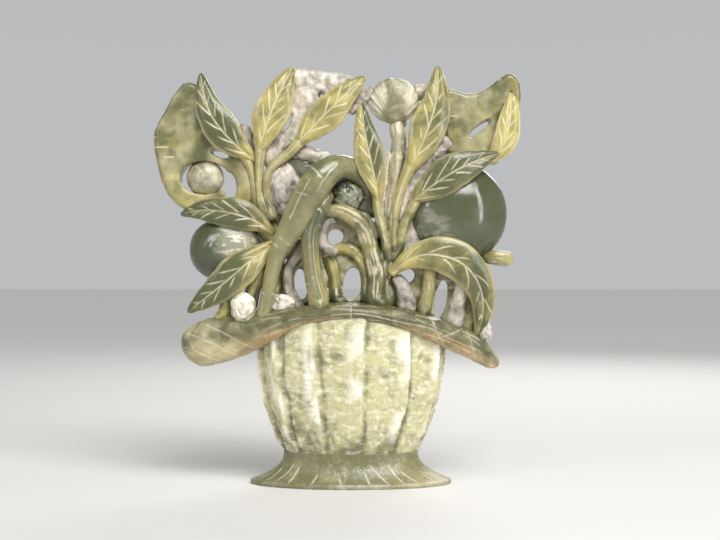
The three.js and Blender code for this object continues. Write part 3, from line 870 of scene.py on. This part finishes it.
def foot():
    """The flared foot, flat beneath, with pale strokes cut outwards across its flare."""
    _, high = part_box("foot")
    seed = seed_of("foot")
    neck = neck_half_width()
    flatness = high.y / high.x
    angle = around(BODY_SIDES)
    steps = np.linspace(0, 1, 70)[:, None]
    underside = np.linspace(0.05, 1, 24)[:, None]
    flare = neck + (high.x - neck) * (1 - steps) ** 2.4
    top = high.z + OVERLAP
    radius = np.vstack([underside * (high.x - FOOT_BEVEL), np.full((1, 1), high.x), flare])
    height = np.vstack([underside * 0, np.full((1, 1), FOOT_BEVEL), FOOT_EDGE + (top - FOOT_EDGE) * steps])
    share = np.clip((height - FOOT_EDGE) / (top - FOOT_EDGE), 0, 1)
    on_flare = smoothstep(0.0, 0.12, share) * (1 - smoothstep(0.8, 1.0, share))

    scratches = np.zeros((len(radius), BODY_SIDES))
    for number in range(FOOT_SCRATCHES):
        centre = 2 * math.pi * (number + 0.32 * math.sin(number * 7.3)) / FOOT_SCRATCHES
        turn = (angle - centre + math.pi) % (2 * math.pi) - math.pi
        lean = (0.12 + 0.1 * math.sin(number * 3.1)) * share
        reach = 0.3 + 0.4 * math.cos(number * 5.7) ** 2
        scratch = ridge((turn + lean) * radius, 0.75 * MM) * (1 - smoothstep(reach - 0.15, reach, share))
        scratches = np.maximum(scratches, scratch)
    scratches = scratches * on_flare
    radius = radius - 0.4 * MM * scratches
    direction = np.stack([np.cos(angle), flatness * np.sin(angle)], axis=-1)
    rings = np.concatenate(
        [radius[..., None] * direction, np.broadcast_to(height, radius.shape)[..., None]], axis=-1
    )
    rings[..., :2] += (rough(rings, 5 * MM, seed) * 0.25 * MM * on_flare)[..., None] * direction
    mesh = tube_mesh("foot", rings)
    wear_and_glint = 0.35 * ridge(share - 0.02, 0.05) * (height > 0)
    pale = np.maximum(0.7 * scratches, wear_and_glint * smoothstep(-0.4, 0.4, noise(rings, 4 * MM, seed + 1)))
    tone = 1.3 + 0.3 * noise(rings, 9 * MM, seed + 2)
    stain = 0.4 * smoothstep(0.1, 0.8, np.cos(angle)) * (1 - share) * np.ones_like(rings[..., 0])
    paint(mesh, pale=with_poles(pale), green=with_poles(tone, 0.8), stain=with_poles(stain))
    place_piece("foot", mesh)


# ---------------------------------------------------------------- lumps


def fitted_ellipsoid(node):
    """The centre and half sizes of the upright ellipsoid that a CAD lump was cut from."""
    points = positions(frame["nodes"][node].data)
    keep = np.ones(len(points), bool)
    for _ in range(4):
        p = points[keep] / MM
        terms = np.hstack([p**2, p])
        found = np.linalg.lstsq(terms, np.ones(len(p)), rcond=None)[0]
        square, straight = found[:3], found[3:]
        centre = -straight / (2 * square)
        half = np.sqrt((1 + np.sum(square * centre**2)) / square)
        off = np.abs(np.linalg.norm((points / MM - centre) / half, axis=1) - 1)
        keep = off < max(0.012, np.percentile(off[keep], 80))
    return centre * MM, half * MM


def ball(name, fineness):
    """A finely divided unit ball, as a mesh and its points."""
    build = bmesh.new()
    bmesh.ops.create_icosphere(build, subdivisions=fineness, radius=1.0)
    mesh = bpy.data.meshes.new(name)
    build.to_mesh(mesh)
    build.free()
    return mesh, positions(mesh)


def peach(node, cleft_turn, cleft_side, frosted_side, whitening):
    """A polished peach with a shallow cleft that curves down one side of its front."""
    centre, half = fitted_ellipsoid(node)
    seed = seed_of(node)
    mesh, unit = ball(node, 7)
    turned = unit[:, 0] * math.cos(cleft_turn) + unit[:, 2] * math.sin(cleft_turn)
    upright = unit[:, 2] * math.cos(cleft_turn) - unit[:, 0] * math.sin(cleft_turn)
    bowed = turned - cleft_side * np.sqrt(np.clip(1 - upright**2, 0, 1))
    cleft = ridge(bowed, 0.3) * smoothstep(-0.1, 0.4, -unit[:, 1])
    patch = smoothstep(0.55, 0.95, unit @ np.array(frosted_side))
    scribbles = smoothstep(0.1, 0.5, rough(unit * [1.0, 1.0, 2.2], 0.3, seed + 1)) * patch * whitening
    flatter = unit * (1 - 0.04 * noise(unit, 0.9, seed) - 0.02 * scribbles)[:, None]
    points = centre + flatter * half * (1 - 0.02 * cleft[:, None])
    move(mesh, points)
    tone = 1.0 - 0.5 * patch * whitening + 0.2 * noise(points, 14 * MM, seed + 2)
    paint(mesh, pale=whitening * patch * 0.3 + 0.7 * scribbles, green=tone)
    return place_piece(node, mesh)


def bud(node, swirl=0.0, paleness=0.4, green=0.4, roughness=0.05, grain=0.45, size=1.0):
    """A rounded lump, with a spiral groove round its front when it is a curled bud."""
    centre, half = fitted_ellipsoid(node)
    seed = seed_of(node)
    mesh, unit = ball(node, 6)
    turn = np.arctan2(unit[:, 2], unit[:, 0])
    out = np.hypot(unit[:, 0], unit[:, 2])
    spiral = np.cos(turn - 9.0 * out)
    front = smoothstep(0.0, 0.4, -unit[:, 1])
    groove = swirl * np.exp(-(((1 - spiral) / 0.25) ** 2)) * front
    bumps = rough(unit, grain, seed) * roughness
    points = centre + unit * half * size * (1 + bumps - 0.09 * groove)[:, None]
    move(mesh, points)
    wear_and_glint = smoothstep(-0.5, 0.4, rough(points, 3 * MM, seed + 1) + 6 * bumps)
    paint(mesh, pale=paleness * wear_and_glint + 0.4 * groove, green=green + 0.3 * noise(points, 5 * MM, seed + 2))
    return place_piece(node, mesh)


def flower():
    """The flower: a smooth green heart that runs up to the top between brushed, paler sides."""
    node = "flower_head"
    centre, half = fitted_ellipsoid(node)
    seed = seed_of(node)
    mesh, unit = ball(node, 7)
    root = np.array([0.0, 0.0, -1.15])
    turn = np.arctan2(unit[:, 0] - root[0], unit[:, 2] - root[2])
    reach = np.hypot(unit[:, 0], unit[:, 2])
    front = smoothstep(-0.1, 0.3, -unit[:, 1])
    heart = 1 - smoothstep(0.25, 0.6, np.abs(unit[:, 0] - 0.06) + 0.1 * noise(unit, 0.5, seed + 3))
    edge = smoothstep(0.78, 1.0, reach)
    scallops = 0.5 + 0.5 * np.cos(turn * 30 + 2.0 * np.sin(turn * 7))
    spread = np.stack([turn * 14, reach * 2.5, np.zeros_like(turn)], axis=-1)
    brushed = rough(spread, 1.0, seed) * (1 - heart)
    swell = 1 + 0.02 * heart * front - 0.035 * scallops * edge + 0.03 * brushed * front
    points = centre + unit * half * swell[:, None]
    move(mesh, points)
    pale = smoothstep(-0.5, 0.9, brushed) * (1 - heart) * 0.55
    tone = 0.25 + 0.4 * heart + 0.25 * brushed + 0.15 * noise(points, 5 * MM, seed + 2)
    paint(mesh, pale=pale, green=tone)
    return place_piece(node, mesh)


# ---------------------------------------------------------------- ground


# Turns a place into stroke-shaped cells: about 9 mm long from side to side, and 1 mm tall
STROKE_CELLS = np.array([[0.06, 0.0, 0.9], [0.0, 0.3, 0.0], [0.1, 0.0, -0.55]]).T / MM


def ground(
    node, smoothing, roughness, paleness, green, grain=3.5 * MM, greener_above=0.0, grow=0.35 * MM
):
    """A node's own surface, smoothed, grown to meet its neighbours, and chipped or polished."""
    mesh = remeshed(node, GROUND_VOXEL, smoothing)
    seed = seed_of(node)
    points = positions(mesh)
    chips = rough(points, grain, seed, octaves=4)
    strokes = smoothstep(0.55, 0.8, noise(points @ STROKE_CELLS, 1.0, seed + 3))
    move(mesh, points + normals(mesh) * (grow + roughness * chips - 0.15 * MM * strokes)[:, None])
    wear_and_glint = smoothstep(-0.7, 0.9, rough(points, 0.8 * grain, seed + 1))
    height = (points[:, 2] - points[:, 2].min()) / np.ptp(points[:, 2])
    tone = green + greener_above * (height - 0.5) + 0.15 * noise(points, 8 * MM, seed + 2)
    paint(mesh, pale=np.maximum(paleness * wear_and_glint, 0.7 * strokes), green=tone)
    return place_piece(node, mesh)


# ---------------------------------------------------------------- the carving

# How green each stem is, from yellow at 0
STEM_GREENS = {
    "stem_loop_upper": 0.75,
    "stem_loop_lower": 0.7,
    "stem_small": 0.7,
    "stem_upper_left": 0.35,
    "stem_top_left": 0.35,
    "stem_top_middle": 0.35,
    "stem_centre": 0.4,
    "stem_top_right": 0.35,
    "stem_right_peach": 0.55,
    "branch_left": 0.5,
    "trunk_left": 0.65,
    "trunk_right": 1.05,
    "prop_stem": 0.45,
    "peach_right_stub": 0.6,
    "web_lower_left": 0.6,
}
LEAF_STEMS = ("stem_upper_left", "stem_top_left", "stem_top_middle", "stem_centre", "stem_top_right")
ROUGH_STEMS = ("stem_flower", "twig_left")
# How pale and how green each rough patch of ground is
ROUGH_GROUND = {
    "prop_rough": (0.35, 0.8),
    "prop_pale": (0.45, 0.65),
    "ground_link": (0.6, 0.5),
    "ground_bar": (0.6, 0.5),
    "ground_flower": (0.55, 0.5),
    "ground_upper_left": (0.5, 0.6),
    "ground_right": (0.55, 0.55),
}
WEB_GREENS = {"web_left": 0.8, "web_middle": 0.7, "web_right": 0.75}
PLATE_GREENS = {"leaf_far_left": 0.72, "leaf_back_right": 0.66}
ROUGH_PLATES = ("ground_top", "ground_fan")


def carve():
    rim_line = rim()
    basket_body(rim_line)
    foot()
    for node in HANDLE_SCRATCHES:
        handle(node)
    for node in LEAF_TONES:
        leaf(node)
    peach("peach_right", cleft_turn=0.1, cleft_side=0.8, frosted_side=(-0.7, -0.5, -0.5), whitening=0.35)
    peach("peach_left", cleft_turn=-0.3, cleft_side=-0.5, frosted_side=(0.5, -0.82, 0.28), whitening=1.0)
    bud("handle_bud", green=0.9, paleness=0.3, roughness=0.14)
    bud("disc_bud", paleness=0.25, green=0.6, roughness=0.03)
    bud("frosted_bud", swirl=1.0, paleness=0.95, green=0.1)
    bud("cave_rock", swirl=0.8, paleness=0.4, green=0.55, roughness=0.06, grain=0.32, size=1.18)
    bud("chunk_left", paleness=0.8, green=0.3, roughness=0.16)
    bud("chunk_right", paleness=0.6, green=0.3, roughness=0.14)
    flower()
    for node, green in STEM_GREENS.items():
        stem(node, green, scratches=0.3 + 0.45 * green)
    for node in ROUGH_STEMS:
        stem(node, green=0.45, waviness=0.16, scratches=0.8)
    for node, green in PLATE_GREENS.items():
        ground(node, 8, 0.12 * MM, paleness=0.3, green=green, grain=9 * MM, greener_above=0.45)
    for node, green in WEB_GREENS.items():
        ground(node, 8, 0.3 * MM, paleness=0.45, green=green, grain=5 * MM)
    ground("knot_ring", 6, 0.7 * MM, paleness=0.3, green=0.85, grain=3 * MM, grow=0.6 * MM)
    ground("ground_handle", 6, 0.15 * MM, paleness=0.2, green=0.75)
    ground("cave_back", 6, 0.2 * MM, paleness=0.2, green=0.85)
    for node in ROUGH_PLATES:
        ground(node, 5, 0.4 * MM, paleness=0.85, green=0.35)
    for node, (paleness, green) in ROUGH_GROUND.items():
        ground(node, 6, 0.45 * MM, paleness=paleness, green=green, grain=3 * MM)


# ---------------------------------------------------------------- the room


def floor():
    half = 6.0
    mesh = bpy.data.meshes.new("floor")
    corners = [(-half, -half, 0), (half, -half, 0), (half, half, 0), (-half, half, 0)]
    mesh.from_pydata(corners, [], [(0, 1, 2, 3)])
    material = bpy.data.materials.new("floor")
    material.use_nodes = True
    surface = material.node_tree.nodes["Principled BSDF"]
    surface.inputs["Base Color"].default_value = (0.72, 0.71, 0.69, 1)
    surface.inputs["Roughness"].default_value = 0.8
    mesh.materials.append(material)
    link("floor", mesh)


MIDDLE = Vector((0, 0, 0.1))


def area_light(name, place, size, power, colour=(1, 1, 1)):
    data = bpy.data.lights.new(name, "AREA")
    data.shape = "RECTANGLE"
    data.size, data.size_y = size
    data.energy = power
    data.color = colour
    light = bpy.data.objects.new(name, data)
    light.location = place
    light.rotation_euler = (MIDDLE - Vector(place)).to_track_quat("-Z", "Y").to_euler()
    bpy.context.scene.collection.objects.link(light)


def sun():
    """An even, very soft light that reaches the whole floor."""
    data = bpy.data.lights.new("sun", "SUN")
    data.energy = 1.7
    data.angle = math.radians(40)
    light = bpy.data.objects.new("sun", data)
    light.rotation_euler = (math.radians(38), 0, math.radians(25))
    bpy.context.scene.collection.objects.link(light)


def room():
    """A pale surround, brightest at the horizon so that it meets the floor."""
    world = bpy.data.worlds.new("room")
    world.use_nodes = True
    tree = world.node_tree
    place = tree.nodes.new("ShaderNodeTexCoord")
    split = tree.nodes.new("ShaderNodeSeparateXYZ")
    ramp = tree.nodes.new("ShaderNodeMapRange")
    ramp.interpolation_type = "SMOOTHSTEP"
    ramp.inputs["From Min"].default_value = 0.15
    ramp.inputs["From Max"].default_value = 0.75
    ramp.inputs["To Min"].default_value = 0.52
    ramp.inputs["To Max"].default_value = 0.12
    background = tree.nodes["Background"]
    background.inputs["Color"].default_value = (0.97, 0.98, 1.0, 1)
    tree.links.new(place.outputs["Generated"], split.inputs["Vector"])
    tree.links.new(split.outputs["Z"], ramp.inputs["Value"])
    tree.links.new(ramp.outputs["Result"], background.inputs["Strength"])
    bpy.context.scene.world = world
    bpy.context.scene.view_settings.view_transform = "Standard"


def lights():
    area_light("key", (0.2, -0.55, 0.72), (0.4, 0.3), 2.4, (1.0, 0.97, 0.92))
    area_light("strip_right", (0.52, -0.5, 0.34), (0.07, 0.7), 2.0)
    area_light("strip_left", (-0.5, -0.45, 0.45), (0.08, 0.5), 1.0)
    area_light("rear", (0.25, 0.65, 0.55), (0.5, 0.4), 2.6)
    sun()
    room()


# The camera looks square-on, and frames the carving as the reference picture does
CAMERA_PLACE = (4.36 * MM, -600 * MM, 102.7 * MM)
CAMERA_LENS = 61.95


def camera():
    data = bpy.data.cameras.new("camera")
    data.lens = CAMERA_LENS
    eye = bpy.data.objects.new("camera", data)
    eye.location = CAMERA_PLACE
    eye.rotation_euler = (math.pi / 2, 0, 0)
    bpy.context.scene.collection.objects.link(eye)
    bpy.context.scene.camera = eye


camera()
lights()
floor()
carve()
